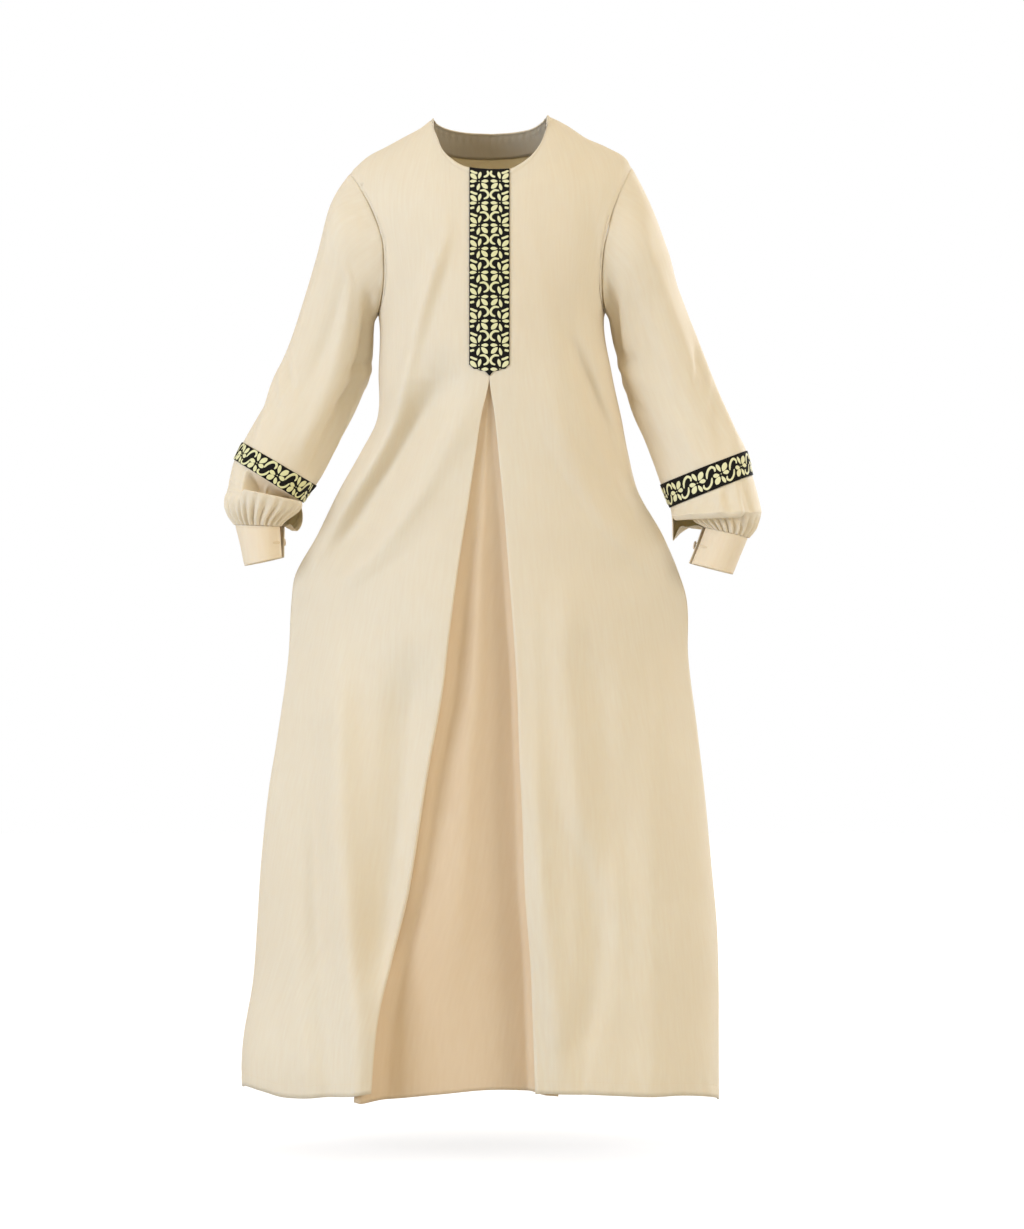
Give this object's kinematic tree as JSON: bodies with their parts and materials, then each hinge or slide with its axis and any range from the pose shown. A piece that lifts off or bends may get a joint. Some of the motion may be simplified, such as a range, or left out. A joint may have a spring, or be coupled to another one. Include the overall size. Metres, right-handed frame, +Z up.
{
  "type": "abaya",
  "caption": "Girl's full-length abaya in cream cloth, worn form: round neck, flowered ribbon, front box pleat, long gathered sleeves with open cuffs.",
  "frame": {"origin": "middle of the neck at the height of the shoulder points, where the wearer's shoulders carry the garment", "axes": "+Z up, the garment's front faces -Y, +X is the wearer's left"},
  "size_m": [0.6333, 0.3058, 1.1574],
  "materials": {
    "cloth": "smooth cream woven polyester with a soft sheen",
    "ribbon": "black woven ribbon with pale yellow-green flowers",
    "button": "glossy cream"
  },
  "bodies": {
    "root": {"back": "cloth", "front_left": "cloth", "front_right": "cloth", "pleat_underlay": "cloth", "neck_facing_front": "cloth", "neck_facing_back": "cloth", "front_trim": "ribbon", "sleeve_left": "cloth", "sleeve_right": "cloth", "sleeve_trim_left": "ribbon", "sleeve_trim_right": "ribbon", "lower_sleeve_left": "cloth", "lower_sleeve_right": "cloth", "cuff_left": "cloth", "cuff_right": "cloth", "cuff_button_left": "button", "cuff_button_right": "button"}
  },
  "joints": []
}
